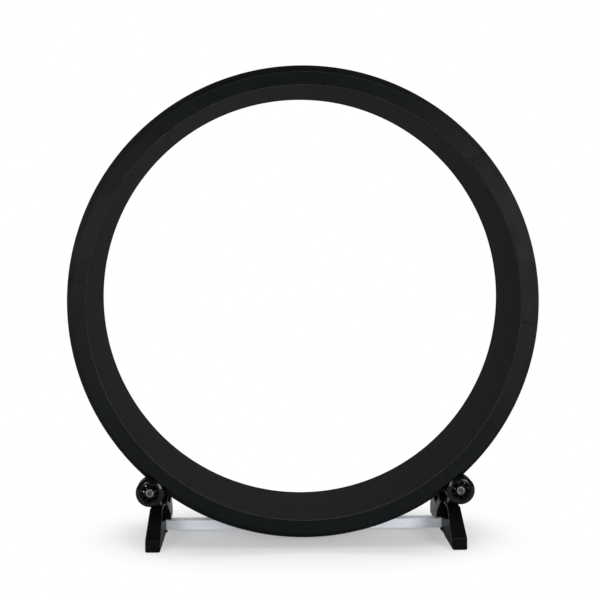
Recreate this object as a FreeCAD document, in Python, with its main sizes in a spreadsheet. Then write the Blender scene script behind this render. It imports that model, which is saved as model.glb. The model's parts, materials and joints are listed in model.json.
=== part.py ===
import FreeCAD, Part
import math
import os
import Sketcher
from FreeCAD import Placement, Rotation, Vector

# Cat exercise wheel: a ring of eight moulded sections lined with foam, which turns on four rollers.
# The rollers stand on two moulded legs that a square bar joins.
# X runs across the wheel, Y along its axis from the front to the rear, and Z up.
# The origin is on the floor, under the middle of the wheel. Lengths are millimetres, angles degrees.

SIZES = {
    # the wheel's profile
    "running_radius": 586,       # where the rollers run, and the outer edge of the front face
    "face_width": 33.5,          # the front face, from its inner to its outer edge
    "flange_height": 24,         # how far the flange stands above the running surface
    "flange_thickness": 4,
    "wheel_depth": 266,          # front face to rear face
    "rail_width": 47,            # the running surface, from the face back to the flange
    "shell_wall": 3.5,
    "ground_clearance": 14,      # the flange's lowest point above the floor
    # the wheel's sections
    "section_count": 8,
    "first_seam_angle": -5.9,    # the first seam, anticlockwise from +X, seen from the front
    "seam_gap": 0.4,
    "rib_thickness": 2.5,
    "rib_height": 12,            # the ribs on the outside of the floor
    "ribs_per_section": 2,
    "first_rib_angle": 5,
    "last_rib_inset": 1.5,       # the last rib's angle short of the section's end
    "tongue_length": 34,         # how far the tongue reaches into the next section
    "tongue_wall": 2.5,
    "tongue_clearance": 0.2,
    "catch_size": 5,             # the window for the snap catch
    "catch_seam_distance": 3,    # from the seam to the window
    "catch_face_distance": 7,    # from the face's inner edge to the window
    "catch_clearance": 0.3,
    # the foam treads
    "tread_thickness": 3.5,
    "tread_recess": 1,           # how far the face's inner edge stands above the foam
    "tread_bed_gap": 0.2,        # the adhesive under the foam
    "tread_side_gap": 0.4,
    # the rollers
    "roller_radius": 36,
    "roller_width": 44,
    "roller_setback": 1,         # the roller's face behind the wheel's face
    "roller_gap": 0.3,           # between roller and running surface
    "roller_angle": 39.4,        # the axle's angle from straight below the wheel's axis
    "spoke_count": 8,
    "spoke_window_inner": 13.5,
    "spoke_window_outer": 21.5,
    "spoke_width": 4,
    "bearing_recess": 2,         # the bearings' face behind the roller's face
    "bearing_radius": 11,
    "bearing_fit": 0.03,
    # the axle bolts
    "axle_radius": 4,
    "axle_fit": 0.03,
    "axle_head_height": 5.3,
    "axle_head_radius": 7.5,     # over the hexagon's corners
    "axle_nut_height": 8,
    "axle_thread_end": 2,        # the bolt's end past its nut
    # the legs
    "leg_width": 38,
    "leg_top_narrowing": 6,      # how much the leg narrows from its toe to its ledge
    "leg_axle_offset": 29,       # the axle outwards from the leg's inner face
    "foot_reach": 25,            # the feet in front of the wheel's face
    "toe_height": 31,
    "sole_height": 2,
    "sole_rounding": 5,
    "arch_half_length": 62,
    "arch_height": 8,
    "arch_slope": 8,
    "ledge_drop": 12,            # the ledge under the roller
    "ledge_reach": 26,           # the ledge in front of the arm
    "saddle_drop": 12,           # the dip between the front arm and the rear one
    "saddle_half_length": 20,
    "arm_flange_gap": 5,
    "arm_thickness": 24,
    "arm_foot_inset": 6,         # the arm's root in from the leg's inner face
    "arm_lean": 6,               # how far the arm leans out before it rises to the boss
    "arm_lean_height": 15,
    "boss_radius": 14,
    "snout_radius": 8,           # the boss's nose that reaches the bearing past the flange
    "bolt_clearance": 0.2,
    "recess_depth": 27,
    "recess_wall": 5,
    "recess_rounding": 6,
    "recess_low_drop": 29,       # from the ledge down to the recess's lower front corner
    "recess_sag": 21,            # how much lower the recess's floor lies towards the bar
    "socket_column_half": 22,
    "socket_depth": 30,
    # the crossbar
    "bar_side": 25,
    "bar_wall": 1.5,
    "bar_height": 13.5,           # its underside above the floor
    "bar_fit": 0.2,
    "bar_end_gap": 0.5,
    "hood_gap": 5,               # between the bar and the hood over it
    "hood_reach": 13,            # the hood over the bar, inwards from the leg
    "hood_top_reach": 4,
    "hood_half_depth": 19,
    "hood_front_height": 14,
    "hood_height": 38,
    "lip_reach": 3,
    # the screws that clamp the crossbar
    "screw_radius": 3,
    "screw_head_radius": 5.8,    # over the hexagon's corners
    "screw_head_height": 4,
    "screw_inset": 16,           # outwards from the leg's inner face
    # the rubber feet
    "pad_thickness": 4,
    "pad_length": 58,
    "pad_width": 26,
    "pad_toe_inset": 9,
    "pad_gap": 0.4,
}

DEGREES_PER_RADIAN = 180 / math.pi

document = FreeCAD.newDocument("cat_exercise_wheel")
sheet = document.addObject("Spreadsheet::Sheet", "Sheet")
for row, (alias, number) in enumerate(SIZES.items(), 1):
    sheet.set(f"A{row}", str(number))
    sheet.setAlias(f"A{row}", alias)
document.recompute()


class Size:
    """A number together with the expression that gives it from the sheet."""

    def __init__(self, value, text):
        self.value = value
        self.text = text

    def __add__(self, other):
        other = as_size(other)
        return Size(self.value + other.value, f"({self.text} + {other.text})")

    def __sub__(self, other):
        other = as_size(other)
        return Size(self.value - other.value, f"({self.text} - {other.text})")

    def __mul__(self, other):
        other = as_size(other)
        return Size(self.value * other.value, f"({self.text} * {other.text})")

    def __truediv__(self, other):
        other = as_size(other)
        return Size(self.value / other.value, f"({self.text} / {other.text})")

    def __neg__(self):
        return Size(-self.value, f"(0 - {self.text})")


def as_size(number):
    return number if isinstance(number, Size) else Size(number, f"({number})")


def cosine(angle):
    return Size(math.cos(math.radians(angle.value)), f"cos({angle.text})")


def sine(angle):
    return Size(math.sin(math.radians(angle.value)), f"sin({angle.text})")


def arc_angle(length, radius):
    """The angle that a length takes up on a circle."""
    return length / radius * DEGREES_PER_RADIAN


class Sheet:
    """The driving sizes by name."""


size = Sheet()
for alias, number in SIZES.items():
    setattr(size, alias, Size(number, f"Sheet.{alias}"))


# ---- places that several pieces share ----

flange_radius = size.running_radius + size.flange_height
wheel_height = size.ground_clearance + flange_radius
face = size.wheel_depth / 2
flange_front = face - size.rail_width
flange_back = flange_front - size.flange_thickness

face_inner_radius = size.running_radius - size.face_width
tread_inner = face_inner_radius + size.tread_recess
tread_outer = tread_inner + size.tread_thickness
floor_inner = tread_outer + size.tread_bed_gap
floor_outer = floor_inner + size.shell_wall
rail_inner = size.running_radius - size.shell_wall
face_back = face - size.shell_wall

section_pitch = as_size(360) / size.section_count
section_angle = section_pitch - arc_angle(size.seam_gap, size.running_radius)
tongue_angle = arc_angle(size.tongue_length, size.running_radius)

axle_distance = size.running_radius + size.roller_gap + size.roller_radius
axle_across = axle_distance * sine(size.roller_angle)
axle_height = wheel_height - axle_distance * cosine(size.roller_angle)
roller_outer = face - size.roller_setback
roller_middle = roller_outer - size.roller_width / 2
bearing_outer = roller_outer - size.bearing_recess
bearing_inner = roller_outer - size.roller_width + size.bearing_recess

arm_outer = flange_back - size.arm_flange_gap
arm_inner = arm_outer - size.arm_thickness

leg_inner = axle_across - size.leg_axle_offset
foot_front = face + size.foot_reach
ledge_height = axle_height - size.roller_radius - size.ledge_drop
ledge_front = arm_outer + size.ledge_reach
bar_top = size.bar_height + size.bar_side


# ---- tools for sketches and features ----

def bind(thing, **sizes):
    """Ties properties to sizes. Two underscores in a name stand for a dot."""
    for name, number in sizes.items():
        thing.setExpression(name.replace("__", "."), as_size(number).text)


def move(thing, across=0, along=0, up=0):
    bind(thing, Placement__Base__x=across, Placement__Base__y=along, Placement__Base__z=up)


def new_body(label):
    body = document.addObject("PartDesign::Body", label)
    body.Label = label
    return body


def origin_feature(body, role):
    return next(item for item in body.Origin.OriginFeatures if item.Role == role)


def new_sketch(body, role, shift=0, turn=0, turn_axis=Vector(0, 1, 0)):
    """A sketch on an origin plane, shifted along the plane's normal and turned about an axis of its own."""
    sketch = body.newObject("Sketcher::SketchObject", f"{body.Label}_sketch")
    sketch.AttachmentSupport = [(origin_feature(body, role), "")]
    sketch.MapMode = "FlatFace"
    sketch.AttachmentOffset = Placement(Vector(), Rotation(turn_axis, as_size(turn).value))
    bind(sketch, AttachmentOffset__Base__z=shift)
    if as_size(turn).value:
        bind(sketch, AttachmentOffset__Rotation__Angle=turn)
    return sketch


def pin_point(sketch, line, end, x, y):
    """Holds a point of the sketch at a distance from the origin each way."""
    for direction, distance in (("DistanceX", as_size(x)), ("DistanceY", as_size(y))):
        place = sketch.addConstraint(Sketcher.Constraint(direction, -1, 1, line, end, distance.value))
        sketch.setExpression(f"Constraints[{place}]", distance.text)


def draw_polygon(sketch, corners):
    points = [Vector(as_size(x).value, as_size(y).value, 0) for x, y in corners]
    first = sketch.GeometryCount
    count = len(points)
    for number in range(count):
        sketch.addGeometry(Part.LineSegment(points[number], points[(number + 1) % count]), False)
    for number, (x, y) in enumerate(corners):
        following = first + (number + 1) % count
        sketch.addConstraint(Sketcher.Constraint("Coincident", first + number, 2, following, 1))
        pin_point(sketch, first + number, 1, x, y)


def draw_rectangle(sketch, left, bottom, right, top):
    draw_polygon(sketch, [(left, bottom), (right, bottom), (right, top), (left, top)])


def draw_circle(sketch, x, y, radius):
    centre = Vector(as_size(x).value, as_size(y).value, 0)
    line = sketch.addGeometry(Part.Circle(centre, Vector(0, 0, 1), radius.value), False)
    place = sketch.addConstraint(Sketcher.Constraint("Radius", line, radius.value))
    sketch.setExpression(f"Constraints[{place}]", radius.text)
    pin_point(sketch, line, 3, x, y)


def add_feature(body, kind, sketch, **sizes):
    feature = body.newObject(f"PartDesign::{kind}", f"{body.Label}_{kind}")
    feature.Profile = sketch
    bind(feature, **sizes)
    return feature


def revolve(body, sketch, angle):
    feature = add_feature(body, "Revolution", sketch, Angle=angle)
    feature.ReferenceAxis = (sketch, ["V_Axis"])
    return feature


def pad(body, sketch, length, both_ways=False, backwards=False):
    feature = add_feature(body, "Pad", sketch, Length=length)
    feature.SideType = "Symmetric" if both_ways else "One side"
    feature.Reversed = backwards
    return feature


def pocket(body, sketch, length=None, backwards=False):
    """A cut of some length, or one that goes right through both ways."""
    feature = add_feature(body, "Pocket", sketch)
    if length is None:
        feature.Type = "ThroughAll"
        feature.SideType = "Symmetric"
    else:
        bind(feature, Length=length)
        feature.Reversed = backwards
    return feature


def polar_pattern(body, features, count, angle):
    pattern = body.newObject("PartDesign::PolarPattern", f"{body.Label}_pattern")
    pattern.Originals = features
    pattern.Axis = (origin_feature(body, "Z_Axis"), [""])
    bind(pattern, Angle=angle, Occurrences=count)
    body.Tip = pattern


def mirror(body, features, role):
    mirrored = body.newObject("PartDesign::Mirrored", f"{body.Label}_mirrored")
    mirrored.Originals = features
    mirrored.MirrorPlane = (origin_feature(body, role), [""])
    body.Tip = mirrored


def fillet(body, radius, is_wanted):
    """Rounds those edges of the body so far that a test picks."""
    document.recompute()
    base = body.Tip
    names = [f"Edge{number}" for number, edge in enumerate(base.Shape.Edges, 1) if is_wanted(edge)]
    feature = body.newObject("PartDesign::Fillet", f"{body.Label}_fillet")
    feature.Base = (base, names)
    bind(feature, Radius=radius)


def is_sole_edge(edge):
    """One of the long edges under a foot."""
    first, last = edge.Vertexes[0].Point, edge.Vertexes[-1].Point
    low = max(first.z, last.z) < size.sole_height.value + 0.01
    return low and abs(first.y - last.y) > size.sole_rounding.value


def group(label, members):
    """Several separate pieces of one kind under one name."""
    compound = document.addObject("Part::Compound", label)
    compound.Label = label
    compound.Links = members
    return compound


def tube(name, outer, inner, length):
    """A ring or tube along its local Z, from Z = 0."""
    ring = document.addObject("Part::Cut", name)
    ring.Base = document.addObject("Part::Cylinder", f"{name}_outside")
    ring.Tool = document.addObject("Part::Cylinder", f"{name}_bore")
    bind(ring.Base, Radius=outer, Height=length)
    bind(ring.Tool, Radius=inner, Height=length)
    return ring


def hexagon_tool(name, radius, height):
    prism = document.addObject("Part::Prism", name)
    prism.Polygon = 6
    bind(prism, Circumradius=radius, Height=height)
    return prism


# ---- the wheel ----

def set_in_wheel(body, number):
    """Turns a piece of the ring to its own seam. Locally, X is radial and Z points to the front."""
    seam = size.first_seam_angle + section_pitch * number
    upright = Rotation(Vector(1, 0, 0), 90)
    body.Placement = Placement(Vector(), upright * Rotation(Vector(0, 0, 1), seam.value))
    bind(body, Placement__Base__z=wheel_height)


def wheel_section(number):
    """One moulded section: a floor, and on each side a hollow rail with its face and flange."""
    body = new_body(f"wheel_section_{number + 1}")

    front_half = [
        (floor_outer, flange_back),
        (flange_radius, flange_back),
        (flange_radius, flange_front),
        (size.running_radius, flange_front),
        (size.running_radius, face),
        (face_inner_radius, face),
        (face_inner_radius, face_back),
        (rail_inner, face_back),
        (rail_inner, flange_front),
        (floor_inner, flange_front),
    ]
    rear_half = [(radius, -depth) for radius, depth in reversed(front_half)]
    shell = new_sketch(body, "XZ_Plane")
    draw_polygon(shell, front_half + rear_half)
    revolve(body, shell, section_angle)

    # cross ribs: a bulkhead in each rail, and a rib over the outside of the floor
    last_rib_angle = section_angle - size.last_rib_inset
    sunk = size.shell_wall / 2
    ribs = new_sketch(body, "XZ_Plane", turn=size.first_rib_angle)
    draw_rectangle(ribs, floor_inner, flange_front - sunk, rail_inner + sunk, face_back + sunk)
    draw_rectangle(ribs, floor_inner, -face_back - sunk, rail_inner + sunk, -flange_front + sunk)
    draw_rectangle(ribs, floor_outer - sunk, -flange_back - sunk, floor_outer + size.rib_height, flange_back + sunk)
    rib = pad(body, ribs, size.rib_thickness, both_ways=True)
    polar_pattern(body, [rib], size.ribs_per_section, last_rib_angle - size.first_rib_angle)

    # the tongue: a plate behind each face and one outside the floor, from the last rib into the next section
    lap_face = face_back - size.tongue_clearance
    lap_floor = floor_outer + size.tongue_clearance
    plates = new_sketch(body, "XZ_Plane", turn=last_rib_angle)
    lap_top = rail_inner - size.tongue_clearance
    draw_rectangle(plates, floor_inner, lap_face - size.tongue_wall, lap_top, lap_face)
    draw_rectangle(plates, floor_inner, -lap_face, lap_top, -lap_face + size.tongue_wall)
    lap_side = flange_back - size.tongue_clearance
    draw_rectangle(plates, lap_floor, -lap_side, lap_floor + size.tongue_wall, lap_side)
    revolve(body, plates, size.last_rib_inset + tongue_angle)

    # the snap catch on each plate, and the window in each face that the catch of the section before fills
    window_left = face_inner_radius + size.catch_face_distance
    window_right = window_left + size.catch_size
    window_low = size.catch_seam_distance
    window_high = window_low + size.catch_size
    window = new_sketch(body, "XY_Plane", shift=face)
    draw_rectangle(window, window_left, window_low, window_right, window_high)
    opening = pocket(body, window, size.shell_wall)
    mirror(body, [opening], "XY_Plane")
    catch = new_sketch(body, "XY_Plane", shift=lap_face, turn=section_pitch, turn_axis=Vector(0, 0, 1))
    spare = size.catch_clearance
    draw_rectangle(catch, window_left + spare, window_low + spare, window_right - spare, window_high - spare)
    hook = pad(body, catch, size.shell_wall)
    mirror(body, [hook], "XY_Plane")

    set_in_wheel(body, number)
    return body


def foam_tread(number):
    """The foam lining of one section."""
    body = new_body(f"foam_tread_{number + 1}")
    strip = new_sketch(body, "XZ_Plane")
    side = face_back - size.tread_side_gap
    draw_rectangle(strip, tread_inner, -side, tread_outer, side)
    revolve(body, strip, section_angle)
    set_in_wheel(body, number)
    return body


# ---- the rollers and their axles ----

def set_on_axle(thing, across_sign, along_sign, depth):
    """Puts a piece on a roller's axle line, its local Z pointing out to the front or the rear."""
    thing.Placement = Placement(Vector(), Rotation(Vector(1, 0, 0), -90 * along_sign))
    move(thing, axle_across * across_sign, depth * along_sign, axle_height)


def roller(label):
    """A tyre cast in one with its spoked core, which turns on the bearings."""
    body = new_body(label)
    profile = new_sketch(body, "XZ_Plane")
    half_width = size.roller_width / 2
    bore = size.bearing_radius + size.bearing_fit
    draw_rectangle(profile, bore, -half_width, size.roller_radius, half_width)
    revolve(body, profile, 360)

    # windows between the spokes, narrower towards the hub
    half_step = as_size(180) / size.spoke_count
    inner_half = size.spoke_window_inner * sine(half_step) - size.spoke_width / 2
    outer_half = size.spoke_window_outer * sine(half_step) - size.spoke_width / 2
    window = new_sketch(body, "XY_Plane")
    draw_polygon(window, [
        (size.spoke_window_inner, -inner_half),
        (size.spoke_window_outer, -outer_half),
        (size.spoke_window_outer, outer_half),
        (size.spoke_window_inner, inner_half),
    ])
    cut = pocket(body, window)
    polar_pattern(body, [cut], size.spoke_count, 360)
    return body


def axle_bolt(name):
    """A hexagon bolt whose head's underside is at Z = 0."""
    bolt = document.addObject("Part::Fuse", name)
    bolt.Base = hexagon_tool(f"{name}_head", size.axle_head_radius, size.axle_head_height)
    bolt.Tool = document.addObject("Part::Cylinder", f"{name}_shank")
    length = bearing_outer - arm_inner + size.axle_nut_height + size.axle_thread_end
    bind(bolt.Tool, Radius=size.axle_radius, Height=length, Placement__Base__z=-length)
    return bolt


def axle_nut(name):
    nut = document.addObject("Part::Cut", name)
    nut.Base = hexagon_tool(f"{name}_hexagon", size.axle_head_radius, size.axle_nut_height)
    nut.Tool = document.addObject("Part::Cylinder", f"{name}_bore")
    bind(nut.Tool, Radius=size.axle_radius + size.axle_fit, Height=size.axle_nut_height)
    return nut


# ---- the base ----

def leg(label, across_sign):
    """A moulded leg. Locally, X points outwards from its inner face, Y to the rear and Z up."""
    body = new_body(label)
    sole = size.sole_height

    # the side outline, with the arch between the feet and the dip between the arms
    arch_inner = size.arch_half_length - size.arch_slope
    saddle_height = ledge_height - size.saddle_drop
    rear_half = [
        (arch_inner, size.arch_height),
        (size.arch_half_length, sole),
        (foot_front, sole),
        (foot_front, size.toe_height),
        (ledge_front, ledge_height),
        (arm_inner, ledge_height),
        (size.saddle_half_length, saddle_height),
    ]
    front_half = [(-depth, height) for depth, height in reversed(rear_half)]
    side = new_sketch(body, "YZ_Plane")
    draw_polygon(side, rear_half + front_half)
    pad(body, side, size.leg_width)

    # the outer face leans in from the toe to the ledge
    slope = size.leg_top_narrowing / (ledge_height - size.toe_height)
    above = size.leg_width
    lean = new_sketch(body, "XZ_Plane")
    draw_polygon(lean, [
        (size.leg_width, size.toe_height),
        (size.leg_width + above, size.toe_height),
        (size.leg_width + above, ledge_height + above),
        (size.leg_width - size.leg_top_narrowing - slope * above, ledge_height + above),
    ])
    pocket(body, lean)
    fillet(body, size.sole_rounding, is_sole_edge)

    # the arms lean out to the bosses that hold the axles
    boss_height = axle_height
    arm_foot = ledge_height - size.arm_lean
    arm = new_sketch(body, "XZ_Plane", shift=arm_inner)
    draw_polygon(arm, [
        (size.arm_foot_inset, arm_foot),
        (size.leg_width - size.leg_top_narrowing, arm_foot),
        (size.leg_axle_offset + size.boss_radius, boss_height),
        (size.leg_axle_offset - size.boss_radius, boss_height),
        (size.arm_foot_inset + size.arm_lean, ledge_height + size.arm_lean_height),
        (size.arm_foot_inset, ledge_height),
    ])
    post = pad(body, arm, size.arm_thickness)
    boss = new_sketch(body, "XZ_Plane", shift=arm_inner)
    draw_circle(boss, size.leg_axle_offset, boss_height, size.boss_radius)
    eye = pad(body, boss, size.arm_thickness)
    nose = new_sketch(body, "XZ_Plane", shift=arm_outer)
    draw_circle(nose, size.leg_axle_offset, boss_height, size.snout_radius)
    snout = pad(body, nose, bearing_inner - arm_outer)
    mirror(body, [post, eye, snout], "XZ_Plane")
    axle = new_sketch(body, "XZ_Plane")
    draw_circle(axle, size.leg_axle_offset, boss_height, size.axle_radius + size.bolt_clearance)
    pocket(body, axle)

    # the hood over the crossbar and the lip under it
    hood_bottom = bar_top + size.hood_gap
    hood_top = hood_bottom + size.hood_height
    rooted = size.recess_wall
    hood = new_sketch(body, "XZ_Plane")
    draw_polygon(hood, [
        (rooted, hood_bottom),
        (-size.hood_reach, hood_bottom),
        (-size.hood_reach, hood_bottom + size.hood_front_height),
        (-size.hood_top_reach, hood_top),
        (rooted, hood_top),
    ])
    pad(body, hood, size.hood_half_depth * 2, both_ways=True)
    lip = new_sketch(body, "XZ_Plane")
    draw_rectangle(lip, -size.lip_reach, size.arch_height, rooted, size.bar_height)
    pad(body, lip, size.hood_half_depth * 2, both_ways=True)

    # the socket for the crossbar
    socket_half = size.bar_side / 2 + size.bar_fit
    socket = new_sketch(body, "YZ_Plane", shift=-size.hood_reach)
    draw_rectangle(socket, -socket_half, size.bar_height, socket_half, bar_top + size.bar_fit)
    pocket(body, socket, size.hood_reach + size.socket_depth, backwards=True)

    # a rounded recess on each side of the socket
    toe_slope = (foot_front - ledge_front) / (ledge_height - size.toe_height)
    recess_top = ledge_height - size.recess_wall
    recess_low = ledge_height - size.recess_low_drop
    inset = size.recess_wall + size.recess_rounding
    recess = new_sketch(body, "YZ_Plane")
    corners = [
        (ledge_front + toe_slope * size.recess_wall - inset, recess_top),
        (arm_inner, recess_top),
        (size.socket_column_half, saddle_height - size.recess_wall),
        (size.socket_column_half, recess_low - size.recess_sag),
        (arm_inner, recess_low - size.recess_sag * 0.8),
        (ledge_front + toe_slope * size.recess_low_drop - inset, recess_low),
    ]
    draw_polygon(recess, corners)
    draw_polygon(recess, [(-depth, height) for depth, height in corners])
    pocket(body, recess, size.recess_depth, backwards=True)

    # seats for the rubber feet, and the hole for the screw that clamps the crossbar
    pad_middle = size.leg_width / 2
    seats = new_sketch(body, "XY_Plane", shift=sole)
    seat_half = size.pad_width / 2 + size.pad_gap
    seat_near = foot_front - size.pad_toe_inset - size.pad_length - size.pad_gap
    seat_far = foot_front - size.pad_toe_inset + size.pad_gap
    draw_rectangle(seats, pad_middle - seat_half, seat_near, pad_middle + seat_half, seat_far)
    draw_rectangle(seats, pad_middle - seat_half, -seat_far, pad_middle + seat_half, -seat_near)
    pocket(body, seats, size.pad_thickness - sole, backwards=True)
    screw = new_sketch(body, "XY_Plane", shift=size.arch_height)
    draw_circle(screw, size.screw_inset, 0, size.screw_radius + size.bolt_clearance)
    pocket(body, screw, size.bar_height - size.arch_height, backwards=True)

    body.Placement = Placement(Vector(), Rotation(Vector(0, 0, 1), 0 if across_sign > 0 else 180))
    bind(body, Placement__Base__x=leg_inner * across_sign)
    return body


def crossbar():
    """A square tube between the legs' sockets."""
    length = (leg_inner + size.socket_depth - size.bar_end_gap) * 2
    hollow = size.bar_side - size.bar_wall * 2
    bar = document.addObject("Part::Cut", "crossbar")
    bar.Label = "crossbar"
    bar.Base = document.addObject("Part::Box", "crossbar_outside")
    bind(bar.Base, Length=length, Width=size.bar_side, Height=size.bar_side)
    move(bar.Base, -length / 2, -size.bar_side / 2, size.bar_height)
    bar.Tool = document.addObject("Part::Box", "crossbar_hollow")
    bind(bar.Tool, Length=length, Width=hollow, Height=hollow)
    move(bar.Tool, -length / 2, -hollow / 2, size.bar_height + size.bar_wall)
    return bar


def clamp_screw(across_sign):
    """A hexagon screw driven up through the leg against the crossbar's underside."""
    screw = document.addObject("Part::Fuse", "clamp_screw")
    screw.Base = hexagon_tool("clamp_screw_head", size.screw_head_radius, size.screw_head_height)
    bind(screw.Base, Placement__Base__z=-size.screw_head_height)
    screw.Tool = document.addObject("Part::Cylinder", "clamp_screw_shank")
    bind(screw.Tool, Radius=size.screw_radius, Height=size.bar_height - size.arch_height)
    move(screw, (leg_inner + size.screw_inset) * across_sign, 0, size.arch_height)
    return screw


def rubber_foot(across_sign, along_sign):
    foot = document.addObject("Part::Box", "rubber_foot")
    bind(foot, Length=size.pad_width, Width=size.pad_length, Height=size.pad_thickness)
    middle_across = (leg_inner + size.leg_width / 2) * across_sign
    middle_along = (foot_front - size.pad_toe_inset - size.pad_length / 2) * along_sign
    move(foot, middle_across - size.pad_width / 2, middle_along - size.pad_length / 2)
    return foot


# ---- every piece ----

pieces = []
for number in range(int(size.section_count.value)):
    pieces.append(wheel_section(number))
    pieces.append(foam_tread(number))

bolts = []
nuts = []
bearings = []
feet = []
for end, along_sign in (("front", -1), ("rear", 1)):
    for side, across_sign in (("left", -1), ("right", 1)):
        wheel = roller(f"{end}_{side}_roller")
        set_on_axle(wheel, across_sign, along_sign, roller_middle)
        pieces.append(wheel)

        bearing_width = bearing_outer - bearing_inner
        bearing = tube("bearing", size.bearing_radius, size.axle_radius + size.axle_fit, bearing_width)
        set_on_axle(bearing, across_sign, along_sign, bearing_inner)
        bearings.append(bearing)
        bolt = axle_bolt("axle_bolt")
        set_on_axle(bolt, across_sign, along_sign, bearing_outer)
        bolts.append(bolt)
        nut = axle_nut("axle_nut")
        set_on_axle(nut, across_sign, along_sign, arm_inner - size.axle_nut_height)
        nuts.append(nut)
        feet.append(rubber_foot(across_sign, along_sign))

pieces += [leg("left_leg", -1), leg("right_leg", 1), crossbar()]
pieces += [
    group("roller_bearings", bearings),
    group("axle_bolts", bolts),
    group("axle_nuts", nuts),
    group("clamp_screws", [clamp_screw(-1), clamp_screw(1)]),
    group("rubber_feet", feet),
]
document.recompute()

for item in document.Objects:
    if "Invalid" in item.State or "Error" in item.State:
        raise RuntimeError(f"{item.Label} failed: {item.State}")
for piece in pieces:
    if piece.Shape.isNull() or not piece.Shape.isValid():
        raise RuntimeError(f"{piece.Label} has no valid shape")
    if piece.isDerivedFrom("PartDesign::Body") and len(piece.Shape.Solids) != 1:
        raise RuntimeError(f"{piece.Label} is not one solid")

os.makedirs("parts", exist_ok=True)
for piece in pieces:
    piece.Shape.exportStep(f"parts/{piece.Label}.step")
print(len(pieces), "pieces,", sum(len(piece.Shape.Solids) for piece in pieces), "solids")
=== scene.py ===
import json
import math

import bmesh
import bpy
from mathutils import Matrix, Vector

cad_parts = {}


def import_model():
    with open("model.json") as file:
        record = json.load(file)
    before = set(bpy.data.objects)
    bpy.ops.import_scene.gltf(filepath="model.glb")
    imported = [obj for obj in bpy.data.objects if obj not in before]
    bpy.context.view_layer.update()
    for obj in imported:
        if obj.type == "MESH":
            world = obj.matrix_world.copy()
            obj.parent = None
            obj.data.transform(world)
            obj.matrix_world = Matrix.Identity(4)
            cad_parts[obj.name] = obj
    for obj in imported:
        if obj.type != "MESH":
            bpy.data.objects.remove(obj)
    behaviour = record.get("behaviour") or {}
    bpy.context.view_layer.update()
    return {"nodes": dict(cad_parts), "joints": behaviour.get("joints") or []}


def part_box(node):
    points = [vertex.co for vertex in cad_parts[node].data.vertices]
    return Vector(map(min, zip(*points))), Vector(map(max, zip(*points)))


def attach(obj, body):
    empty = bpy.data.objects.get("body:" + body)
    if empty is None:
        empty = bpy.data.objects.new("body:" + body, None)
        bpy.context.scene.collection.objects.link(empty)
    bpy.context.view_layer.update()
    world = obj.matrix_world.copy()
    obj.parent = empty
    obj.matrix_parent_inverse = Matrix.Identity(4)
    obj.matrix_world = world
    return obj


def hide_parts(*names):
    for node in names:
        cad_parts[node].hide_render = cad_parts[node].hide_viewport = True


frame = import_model()

# Lengths are metres. X runs across the wheel, Y from its front to its rear and Z up.
MM = 0.001

# The wheel: the rollers run at the running radius, outside the floor and behind the flanges.
SECTION_COUNT = 8
FIRST_SEAM = math.radians(-5.9)
RUNNING_RADIUS = 586 * MM
FLOOR_RADIUS = 560.7 * MM
FLANGE_BACK = 82 * MM
FOAM_INNER_RADIUS = 553.5 * MM
FOAM_OUTER_RADIUS = 557 * MM
FOAM_EDGE = 1.2 * MM
FOAM_STEPS = 64
SEAM_GAP = 0.4 * MM
TIGHT_SEAM = 0.06 * MM
NEAR = 0.1 * MM

# The rollers.
ROLLER_RADIUS = 36 * MM
ROLLER_HALF_WIDTH = 22 * MM
TYRE_INNER_RADIUS = 25.5 * MM
SPOKE_COUNT = 8
HUB_RADIUS = 13.4 * MM
BEARING_RADIUS = 11 * MM
BEARING_WIDTH = 7 * MM
BEARING_RECESS = 2 * MM
BEARING_CLEARANCE = 0.06 * MM
AXLE_RADIUS = 4 * MM
TYRE_STEPS = 96
HUB_STEPS = 64

joint_places = {joint["name"]: Vector(joint["pos_m"]) for joint in frame["joints"]}
wheel_centre = joint_places["wheel_spin"]
face_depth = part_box("wheel_section_1")[1].y
tread_half_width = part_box("foam_tread_1")[1].y


# ---- materials ----

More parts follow.
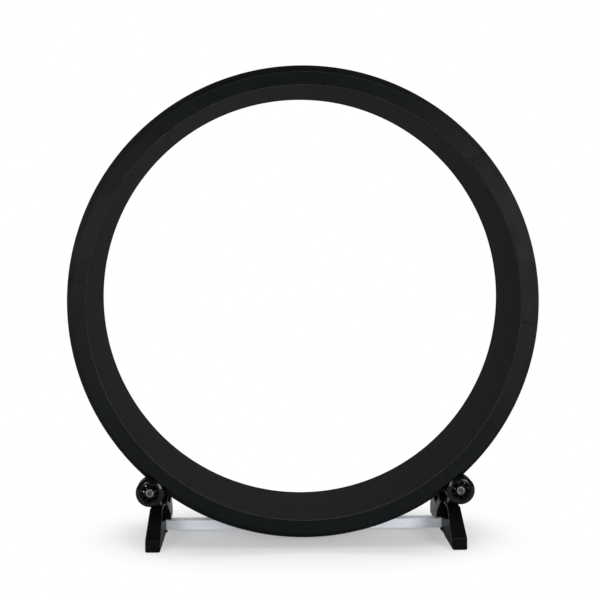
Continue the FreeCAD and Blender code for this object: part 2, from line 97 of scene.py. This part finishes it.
class Look:
    """A procedural material, built from a principled shader."""

    def __init__(self, name, colour, roughness, metallic=0.0, specular=0.5):
        self.material = bpy.data.materials.new(name)
        self.material.use_nodes = True
        self.tree = self.material.node_tree
        self.shader = self.tree.nodes["Principled BSDF"]
        self.colour = colour
        self.shader.inputs["Base Color"].default_value = (*colour, 1)
        self.shader.inputs["Roughness"].default_value = roughness
        self.shader.inputs["Metallic"].default_value = metallic
        self.shader.inputs["Specular IOR Level"].default_value = specular
        self.place = self.tree.nodes.new("ShaderNodeTexCoord").outputs["Object"]

    def stretched(self, x, y, z):
        """The place on the object, stretched along its axes."""
        mapping = self.tree.nodes.new("ShaderNodeMapping")
        mapping.inputs["Scale"].default_value = (x, y, z)
        self.tree.links.new(self.place, mapping.inputs["Vector"])
        return mapping.outputs["Vector"]

    def noise(self, scale, detail=4, place=None):
        texture = self.tree.nodes.new("ShaderNodeTexNoise")
        texture.inputs["Scale"].default_value = scale
        texture.inputs["Detail"].default_value = detail
        self.tree.links.new(place or self.place, texture.inputs["Vector"])
        return texture.outputs["Fac"]

    def cells(self, scale):
        texture = self.tree.nodes.new("ShaderNodeTexVoronoi")
        texture.inputs["Scale"].default_value = scale
        self.tree.links.new(self.place, texture.inputs["Vector"])
        return texture.outputs["Distance"]

    def remapped(self, value, low, high, from_low=0.3, from_high=0.7):
        node = self.tree.nodes.new("ShaderNodeMapRange")
        node.inputs["From Min"].default_value = from_low
        node.inputs["From Max"].default_value = from_high
        node.inputs["To Min"].default_value = low
        node.inputs["To Max"].default_value = high
        self.tree.links.new(value, node.inputs["Value"])
        return node.outputs["Result"]

    def vary_colour(self, value, dark, light):
        """Runs the colour from a darker to a lighter share of itself."""
        mix = self.tree.nodes.new("ShaderNodeMix")
        mix.data_type = "RGBA"
        mix.inputs["A"].default_value = (*[part * dark for part in self.colour], 1)
        mix.inputs["B"].default_value = (*[part * light for part in self.colour], 1)
        self.tree.links.new(self.remapped(value, 0, 1), mix.inputs["Factor"])
        self.tree.links.new(mix.outputs["Result"], self.shader.inputs["Base Color"])

    def vary_roughness(self, value, low, high):
        self.tree.links.new(self.remapped(value, low, high), self.shader.inputs["Roughness"])

    def bump(self, value, depth, strength):
        node = self.tree.nodes.new("ShaderNodeBump")
        node.inputs["Strength"].default_value = strength
        node.inputs["Distance"].default_value = depth
        self.tree.links.new(value, node.inputs["Height"])
        previous = self.shader.inputs["Normal"].links
        if previous:
            self.tree.links.new(previous[0].from_socket, node.inputs["Normal"])
        self.tree.links.new(node.outputs["Normal"], self.shader.inputs["Normal"])


def moulded_plastic(name, colour, low, high, grain, specular):
    """Plastic or rubber with a fine grain, whose roughness runs from low to high."""
    look = Look(name, colour, (low + high) / 2, specular=specular)
    look.vary_colour(look.noise(9), 0.85, 1.15)
    look.vary_roughness(look.noise(14, detail=6), low, high)
    look.bump(look.noise(grain, detail=3), 0.05 * MM, 0.5)
    return look.material


def polyurethane():
    """Glossy on a roller's sides and dull on its tread, where it wears."""
    look = Look("roller_polyurethane", (0.0014, 0.0018, 0.0019), 0.2, specular=0.18)
    look.vary_colour(look.noise(9), 0.85, 1.15)
    facing = look.tree.nodes.new("ShaderNodeTexCoord").outputs["Normal"]
    parts = look.tree.nodes.new("ShaderNodeSeparateXYZ")
    sideways = look.tree.nodes.new("ShaderNodeMath")
    sideways.operation = "ABSOLUTE"
    worn = look.tree.nodes.new("ShaderNodeMath")
    worn.operation = "MULTIPLY"
    look.tree.links.new(facing, parts.inputs["Vector"])
    look.tree.links.new(parts.outputs["Y"], sideways.inputs[0])
    look.tree.links.new(look.remapped(sideways.outputs["Value"], 0.55, 0.13), worn.inputs[0])
    look.tree.links.new(look.remapped(look.noise(14, detail=6), 0.85, 1.15), worn.inputs[1])
    look.tree.links.new(worn.outputs["Value"], look.shader.inputs["Roughness"])
    look.bump(look.noise(2500, detail=3), 0.03 * MM, 0.5)
    return look.material


def foam():
    """Closed-cell foam, dull and slightly uneven."""
    look = Look("tread_foam", (0.0066, 0.0064, 0.0056), 0.95, specular=0.03)
    look.vary_colour(look.noise(60), 0.85, 1.15)
    look.shader.inputs["Sheen Weight"].default_value = 0.01
    look.shader.inputs["Sheen Roughness"].default_value = 0.6
    look.bump(look.cells(900), 0.25 * MM, 0.6)
    look.bump(look.noise(25, detail=5), 0.5 * MM, 0.4)
    return look.material


def brushed_aluminium():
    """Pale metal with fine lines along X."""
    look = Look("bar_aluminium", (0.76, 0.80, 0.86), 0.38, metallic=0.3)
    lines = look.noise(220, detail=4, place=look.stretched(0.02, 1, 1))
    look.vary_roughness(lines, 0.3, 0.48)
    look.bump(lines, 0.02 * MM, 0.5)
    return look.material


def steel(name, colour, low, high):
    look = Look(name, colour, (low + high) / 2, metallic=1.0)
    look.vary_roughness(look.noise(300), low, high)
    look.vary_colour(look.noise(120), 0.9, 1.1)
    return look.material


RIM = moulded_plastic("rim_plastic", (0.0020, 0.0030, 0.0032), low=0.38, high=0.48, grain=1500, specular=0.07)
LEG = moulded_plastic("leg_plastic", (0.0012, 0.0017, 0.0016), low=0.32, high=0.40, grain=1800, specular=0.07)
TYRE = polyurethane()
CORE = moulded_plastic("roller_core", (0.0020, 0.0024, 0.0025), low=0.20, high=0.28, grain=2500, specular=0.07)
FOOT = moulded_plastic("foot_rubber", (0.008, 0.008, 0.008), low=0.7, high=0.85, grain=2000, specular=0.3)
FOAM = foam()
BAR = brushed_aluminium()
BEARING = steel("bearing_steel", (0.27, 0.28, 0.285), low=0.28, high=0.4)
BOLT = steel("bolt_steel", (0.05, 0.052, 0.055), low=0.3, high=0.42)


# ---- shaping ----

CREASE = math.radians(30)
BEVEL_SEGMENTS = 3
MERGE_DISTANCE = 0.002 * MM
FLAT_ANGLE = math.radians(0.3)


def new_piece(name, mesh, material, body, replaced=()):
    piece = bpy.data.objects.new(name, mesh)
    bpy.context.collection.objects.link(piece)
    piece.data.materials.clear()
    piece.data.materials.append(material)
    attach(piece, body)
    if replaced:
        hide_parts(*replaced)
    return piece


def bevel(piece, width, by_weight=False):
    """Rounds a piece's edges, and keeps its flat faces flat in the shading."""
    modifier = piece.modifiers.new("edges", "BEVEL")
    modifier.width = width
    modifier.segments = BEVEL_SEGMENTS
    modifier.limit_method = "WEIGHT" if by_weight else "ANGLE"
    modifier.angle_limit = CREASE
    modifier.use_clamp_overlap = not by_weight
    shading = piece.modifiers.new("shading", "WEIGHTED_NORMAL")
    shading.keep_sharp = True
    piece.data.shade_smooth()


def choose_edges(work, width, wanted):
    """Marks the long creases that are to be rounded, and keeps the other creases sharp."""
    weight = work.edges.layers.float.new("bevel_weight_edge")
    for edge in work.edges:
        if edge.calc_face_angle(0) < CREASE:
            continue
        rounded = edge.calc_length() > 2.5 * width and wanted(edge)
        edge[weight] = 1 if rounded else 0
        edge.smooth = rounded


def softened(node, material, body, width, reshape=None, wanted=lambda edge: True):
    """A copy of a node's mesh with its flat faces joined and its edges rounded."""
    mesh = frame["nodes"][node].data.copy()
    work = bmesh.new()
    work.from_mesh(mesh)
    if reshape:
        reshape(work)
    bmesh.ops.remove_doubles(work, verts=work.verts, dist=MERGE_DISTANCE)
    bmesh.ops.dissolve_limit(work, angle_limit=FLAT_ANGLE, verts=work.verts, edges=work.edges)
    for face in work.faces:
        face.smooth = True
    choose_edges(work, width, wanted)
    work.to_mesh(mesh)
    work.free()
    piece = new_piece(f"{node}_finished", mesh, material, body, [node])
    bevel(piece, width, by_weight=True)


def turned(profile, steps, start=0.0, sweep=2 * math.pi):
    """A closed profile of (radius, height) points turned about Z, whole or in part."""
    work = bmesh.new()
    whole = sweep > 2 * math.pi - 1e-6
    rings = []
    for step in range(steps if whole else steps + 1):
        angle = start + sweep * step / steps
        rings.append([
            work.verts.new((radius * math.cos(angle), radius * math.sin(angle), height))
            for radius, height in profile
        ])
    pairs = zip(rings, rings[1:] + rings[:1] if whole else rings[1:])
    for ring, following in pairs:
        for place in range(len(profile)):
            after = (place + 1) % len(profile)
            work.faces.new((ring[place], following[place], following[after], ring[after]))
    if not whole:
        work.faces.new(list(reversed(rings[0])))
        work.faces.new(rings[-1])
    bmesh.ops.recalc_face_normals(work, faces=work.faces)
    return work


def rounded_corner(centre, radius, start, end, steps=6):
    """Points on an arc about a centre, angles in degrees."""
    return [
        (
            centre[0] + radius * math.cos(math.radians(start + (end - start) * step / steps)),
            centre[1] + radius * math.sin(math.radians(start + (end - start) * step / steps)),
        )
        for step in range(steps + 1)
    ]


def as_mesh(work, name, matrix):
    bmesh.ops.transform(work, matrix=matrix, verts=work.verts)
    mesh = bpy.data.meshes.new(name)
    work.to_mesh(mesh)
    work.free()
    return mesh


def box_part(work, low, high, matrix):
    """Adds a block between two corners, moved by a matrix."""
    made = bmesh.ops.create_cube(work, size=1)["verts"]
    size = [top - bottom for bottom, top in zip(low, high)]
    middle = [(top + bottom) / 2 for bottom, top in zip(low, high)]
    place = matrix @ Matrix.Translation(middle) @ Matrix.Diagonal((*size, 1))
    bmesh.ops.transform(work, matrix=place, verts=made)


# ---- the wheel ----

to_wheel = Matrix.Translation(wheel_centre) @ Matrix.Rotation(math.pi / 2, 4, "X")


def section_ends(number):
    """The angles of a section's two end faces, anticlockwise from +X."""
    pitch = 2 * math.pi / SECTION_COUNT
    start = FIRST_SEAM + pitch * (number - 1)
    return start, start + pitch - SEAM_GAP / RUNNING_RADIUS


def is_outside(edge):
    """Whether an edge of a section shows, and isn't inside its hollow rails."""
    for vertex in edge.verts:
        place = vertex.co - wheel_centre
        radius = math.hypot(place.x, place.z)
        on_face = abs(place.y) > face_depth - NEAR
        on_running_surface = radius > RUNNING_RADIUS - NEAR
        under_floor = abs(place.y) < FLANGE_BACK + NEAR and radius > FLOOR_RADIUS - NEAR
        if not (on_face or on_running_surface or under_floor):
            return False
    return True


def wheel_section(number):
    """A moulded section whose end faces reach out until they nearly meet the next ones."""
    reach = (SEAM_GAP - TIGHT_SEAM) / 2 / RUNNING_RADIUS
    tolerance = SEAM_GAP / 8 / RUNNING_RADIUS

    def close_seams(work):
        for vertex in work.verts:
            place = vertex.co - wheel_centre
            angle = math.atan2(place.z, place.x)
            for end, way in zip(section_ends(number), (-1, 1)):
                if abs(math.remainder(angle - end, 2 * math.pi)) < tolerance:
                    vertex.co = wheel_centre + Matrix.Rotation(-reach * way, 3, "Y") @ place

    softened(f"wheel_section_{number}", RIM, "wheel", 0.9 * MM, close_seams, is_outside)


def foam_tread(number):
    """A strip of foam with rounded edges, which shows inside the section's two faces."""
    node = f"foam_tread_{number}"
    side = tread_half_width
    corner = FOAM_INNER_RADIUS + FOAM_EDGE
    profile = (
        [(FOAM_OUTER_RADIUS, side), (FOAM_OUTER_RADIUS, -side)]
        + rounded_corner((corner, -side + FOAM_EDGE), FOAM_EDGE, 270, 180, 4)
        + rounded_corner((corner, side - FOAM_EDGE), FOAM_EDGE, 180, 90, 4)
    )
    start, end = section_ends(number)
    work = turned(profile, FOAM_STEPS, start, end - start)
    piece = new_piece(f"{node}_lining", as_mesh(work, node, to_wheel), FOAM, "wheel", [node])
    bevel(piece, 0.5 * MM)


for section_number in range(1, SECTION_COUNT + 1):
    wheel_section(section_number)
    foam_tread(section_number)


# ---- the rollers ----

def roller_place(end, side):
    """The frame of a roller: its middle, with Z out to the front or the rear."""
    middle = joint_places[f"{end}_{side}_roller_spin"]
    turn = Matrix.Rotation(math.pi / 2 if end == "front" else -math.pi / 2, 4, "X")
    return Matrix.Translation(middle) @ turn


def tyre_profile():
    """A crowned side that runs from the inner lip round the shoulder to the tread."""
    half = ROLLER_HALF_WIDTH
    lip = 1.2 * MM
    shoulder = 3 * MM
    crown = 40 * MM
    crown_reach = 13.6 * MM
    lip_place = (TYRE_INNER_RADIUS + lip, half - lip)
    lip_turn = math.acos((lip_place[0] - crown_reach) / (crown - lip))
    crown_place = (crown_reach, lip_place[1] - (crown - lip) * math.sin(lip_turn))
    shoulder_reach = ROLLER_RADIUS - shoulder
    shoulder_turn = math.acos((shoulder_reach - crown_reach) / (crown - shoulder))
    shoulder_place = (shoulder_reach, crown_place[1] + (crown - shoulder) * math.sin(shoulder_turn))
    lip_angle = math.degrees(lip_turn)
    shoulder_angle = math.degrees(shoulder_turn)
    one_side = (
        [(TYRE_INNER_RADIUS, half - 3.5 * MM)]
        + rounded_corner(lip_place, lip, 180, lip_angle)
        + rounded_corner(crown_place, crown, lip_angle, shoulder_angle, 8)[1:]
        + rounded_corner(shoulder_place, shoulder, shoulder_angle, 0, 8)[1:]
    )
    return one_side + [(radius, -height) for radius, height in reversed(one_side)]


def roller_tyre(end, side):
    name = f"{end}_{side}_roller"
    work = turned(tyre_profile(), TYRE_STEPS)
    mesh = as_mesh(work, f"{name}_tyre", roller_place(end, side))
    piece = new_piece(f"{name}_tyre", mesh, TYRE, f"{name}_body", [name])
    piece.data.shade_smooth()
    piece.data.set_sharp_from_angle(angle=math.radians(40))


def roller_core(end, side):
    """A hub and a rim with spokes between them."""
    name = f"{end}_{side}_roller"
    half = ROLLER_HALF_WIDTH
    rim_inner = 21.8 * MM
    hub_half = half - BEARING_RECESS
    rim_half = half - 2.6 * MM
    spoke_half = half - 4.5 * MM
    spoke_width = 3.4 * MM
    bore = BEARING_RADIUS + BEARING_CLEARANCE
    retainer_bore = 9.7 * MM
    retainer_half = half - 0.6 * MM
    work = turned([
        (bore, -hub_half),
        (retainer_bore, -hub_half),
        (retainer_bore, -retainer_half),
        (HUB_RADIUS, -retainer_half),
        (HUB_RADIUS, retainer_half),
        (retainer_bore, retainer_half),
        (retainer_bore, hub_half),
        (bore, hub_half),
    ], HUB_STEPS)
    rim = turned([
        (rim_inner, -rim_half),
        (TYRE_INNER_RADIUS, -rim_half),
        (TYRE_INNER_RADIUS, rim_half),
        (rim_inner, rim_half),
    ], HUB_STEPS)
    spare = bpy.data.meshes.new("spare")
    rim.to_mesh(spare)
    rim.free()
    work.from_mesh(spare)
    bpy.data.meshes.remove(spare)
    for number in range(SPOKE_COUNT):
        turn = Matrix.Rotation(2 * math.pi * (number + 0.5) / SPOKE_COUNT, 4, "Z")
        low = (HUB_RADIUS - 0.5 * MM, -spoke_width / 2, -spoke_half)
        high = (rim_inner + 0.5 * MM, spoke_width / 2, spoke_half)
        box_part(work, low, high, turn)
    mesh = as_mesh(work, f"{name}_core", roller_place(end, side))
    piece = new_piece(f"{name}_core", mesh, CORE, f"{name}_body")
    bevel(piece, 0.5 * MM)


def bearing_profile():
    """The outer race, a sunk shield and the inner race, on both faces."""
    half = BEARING_WIDTH / 2
    groove = 0.5 * MM
    outer_race = 9.3 * MM
    inner_race = 6.1 * MM
    face = [
        (AXLE_RADIUS + 0.05 * MM, half), (inner_race - 0.2 * MM, half), (inner_race, half - groove),
        (outer_race, half - groove), (outer_race + 0.2 * MM, half), (BEARING_RADIUS - 0.3 * MM, half),
        (BEARING_RADIUS, half - 0.3 * MM),
    ]
    return face + [(radius, -height) for radius, height in reversed(face)]


def ball_bearings(end, side):
    """The two ball bearings of a roller, which stand still on its axle."""
    middle = ROLLER_HALF_WIDTH - BEARING_RECESS - BEARING_CLEARANCE - BEARING_WIDTH / 2
    for label, height in (("outer", middle), ("inner", -middle)):
        place = roller_place(end, side) @ Matrix.Translation((0, 0, height))
        mesh = as_mesh(turned(bearing_profile(), HUB_STEPS), "bearing", place)
        name = f"{end}_{side}_{label}_bearing"
        piece = new_piece(name, mesh, BEARING, "base", ["roller_bearings"])
        piece.data.shade_smooth()
        piece.data.set_sharp_from_angle(angle=CREASE)


for roller_end in ("front", "rear"):
    for roller_side in ("left", "right"):
        roller_tyre(roller_end, roller_side)
        roller_core(roller_end, roller_side)
        ball_bearings(roller_end, roller_side)


# ---- the base ----

softened("left_leg", LEG, "base", 1.5 * MM)
softened("right_leg", LEG, "base", 1.5 * MM)
softened("crossbar", BAR, "base", 0.5 * MM)
softened("rubber_feet", FOOT, "base", 0.8 * MM)
softened("axle_bolts", BOLT, "base", 0.35 * MM)
softened("axle_nuts", BOLT, "base", 0.35 * MM)
softened("clamp_screws", BOLT, "base", 0.3 * MM)


# ---- the studio ----

ROOM_TONE = 0.12
WHITE = (1, 1, 1, 1)
FLOOR_COLOUR = (0.74, 0.75, 0.76, 1)
FLOOR_RADIUS_SHOWN = 30
FADE_HALF_WIDTH = 0.62
FADE_HALF_DEPTH = 0.36


def floor():
    """A pale floor that fades into the white background."""
    bpy.ops.mesh.primitive_circle_add(
        vertices=96, radius=FLOOR_RADIUS_SHOWN, fill_type="NGON", location=(0, 0, 0)
    )
    ground = bpy.context.object
    ground.name = "floor"
    material = bpy.data.materials.new("floor")
    material.use_nodes = True
    tree = material.node_tree
    tree.nodes.clear()
    output = tree.nodes.new("ShaderNodeOutputMaterial")
    diffuse = tree.nodes.new("ShaderNodeBsdfDiffuse")
    diffuse.inputs["Color"].default_value = FLOOR_COLOUR
    white = tree.nodes.new("ShaderNodeEmission")
    place = tree.nodes.new("ShaderNodeTexCoord")
    footprint = tree.nodes.new("ShaderNodeMapping")
    footprint.inputs["Scale"].default_value = (1 / FADE_HALF_WIDTH, 1 / FADE_HALF_DEPTH, 1)
    length = tree.nodes.new("ShaderNodeVectorMath")
    length.operation = "LENGTH"
    fade = tree.nodes.new("ShaderNodeMapRange")
    fade.interpolation_type = "SMOOTHSTEP"
    fade.inputs["From Min"].default_value = 0.5
    fade.inputs["From Max"].default_value = 1.05
    fade.inputs["To Min"].default_value = 0.33
    seen = tree.nodes.new("ShaderNodeLightPath")
    share = tree.nodes.new("ShaderNodeMath")
    share.operation = "MULTIPLY"
    mix = tree.nodes.new("ShaderNodeMixShader")
    tree.links.new(place.outputs["Object"], footprint.inputs["Vector"])
    tree.links.new(footprint.outputs["Vector"], length.inputs[0])
    tree.links.new(length.outputs["Value"], fade.inputs["Value"])
    tree.links.new(fade.outputs["Result"], share.inputs[0])
    tree.links.new(seen.outputs["Is Camera Ray"], share.inputs[1])
    tree.links.new(share.outputs["Value"], mix.inputs["Fac"])
    tree.links.new(diffuse.outputs["BSDF"], mix.inputs[1])
    tree.links.new(white.outputs["Emission"], mix.inputs[2])
    tree.links.new(mix.outputs["Shader"], output.inputs["Surface"])
    ground.data.materials.append(material)


def background(tree, strength):
    node = tree.nodes.new("ShaderNodeBackground")
    node.inputs["Color"].default_value = WHITE
    node.inputs["Strength"].default_value = strength
    return node


def world(ambient):
    """Soft light from all round. Reflections see white behind the object and a dim room before it."""
    sky = bpy.data.worlds.new("studio")
    sky.use_nodes = True
    tree = sky.node_tree
    tree.nodes.clear()
    output = tree.nodes.new("ShaderNodeOutputWorld")
    light = background(tree, ambient)
    white = background(tree, 1)
    mirrored = background(tree, 1)
    seen = tree.nodes.new("ShaderNodeLightPath")
    direction = tree.nodes.new("ShaderNodeTexCoord")
    parts = tree.nodes.new("ShaderNodeSeparateXYZ")
    backdrop = tree.nodes.new("ShaderNodeMapRange")
    backdrop.interpolation_type = "SMOOTHSTEP"
    backdrop.inputs["From Min"].default_value = -0.35
    backdrop.inputs["From Max"].default_value = 0.35
    backdrop.inputs["To Min"].default_value = ROOM_TONE
    tree.links.new(direction.outputs["Generated"], parts.inputs["Vector"])
    tree.links.new(parts.outputs["Y"], backdrop.inputs["Value"])
    tree.links.new(backdrop.outputs["Result"], mirrored.inputs["Strength"])
    reflection = tree.nodes.new("ShaderNodeMath")
    reflection.operation = "MAXIMUM"
    tree.links.new(seen.outputs["Is Glossy Ray"], reflection.inputs[0])
    tree.links.new(seen.outputs["Is Transmission Ray"], reflection.inputs[1])
    with_reflection = tree.nodes.new("ShaderNodeMixShader")
    tree.links.new(reflection.outputs["Value"], with_reflection.inputs["Fac"])
    tree.links.new(light.outputs["Background"], with_reflection.inputs[1])
    tree.links.new(mirrored.outputs["Background"], with_reflection.inputs[2])
    mix = tree.nodes.new("ShaderNodeMixShader")
    tree.links.new(seen.outputs["Is Camera Ray"], mix.inputs["Fac"])
    tree.links.new(with_reflection.outputs["Shader"], mix.inputs[1])
    tree.links.new(white.outputs["Background"], mix.inputs[2])
    tree.links.new(mix.outputs["Shader"], output.inputs["Surface"])
    bpy.context.scene.world = sky


def softbox(name, place, target, width, height, power):
    light = bpy.data.lights.new(name, "AREA")
    light.shape = "RECTANGLE"
    light.size = width
    light.size_y = height
    light.energy = power
    lamp = bpy.data.objects.new(name, light)
    bpy.context.collection.objects.link(lamp)
    lamp.location = place
    lamp.rotation_euler = (Vector(target) - Vector(place)).to_track_quat("-Z", "Y").to_euler()


def camera():
    """The photograph's camera: level and square to the wheel, its frame shifted."""
    picture_width = 600
    focal_pixels = 930.4
    centre_across = 266.1
    centre_down = 238.2
    tilt = math.radians(0.525)
    eye_across = -0.0935
    eye_distance = 2.357
    eye_rise = 0.1638
    lens = bpy.data.cameras.new("camera")
    lens.sensor_width = 36
    lens.lens = lens.sensor_width * focal_pixels / picture_width
    lens.shift_x = 0.5 - centre_across / picture_width
    lens.shift_y = centre_down / picture_width - 0.5
    eye = bpy.data.objects.new("camera", lens)
    bpy.context.collection.objects.link(eye)
    eye.location = (eye_across, -face_depth - eye_distance, wheel_centre.z + eye_rise)
    eye.rotation_euler = (math.pi / 2, tilt, 0)
    bpy.context.scene.camera = eye


floor()
world(ambient=0.6)
softbox("overhead", (0, 0.5, 3.2), (0, 0, 0.3), width=3.6, height=2.4, power=85)
softbox("left", (-1.35, -2.7, 0.95), (-0.4, -0.1, 0.5), width=0.75, height=1.3, power=30)
softbox("right", (1.7, -2.7, 0.95), (0.4, -0.1, 0.5), width=1.1, height=1.3, power=58)
camera()
bpy.context.scene.view_settings.view_transform = "Standard"
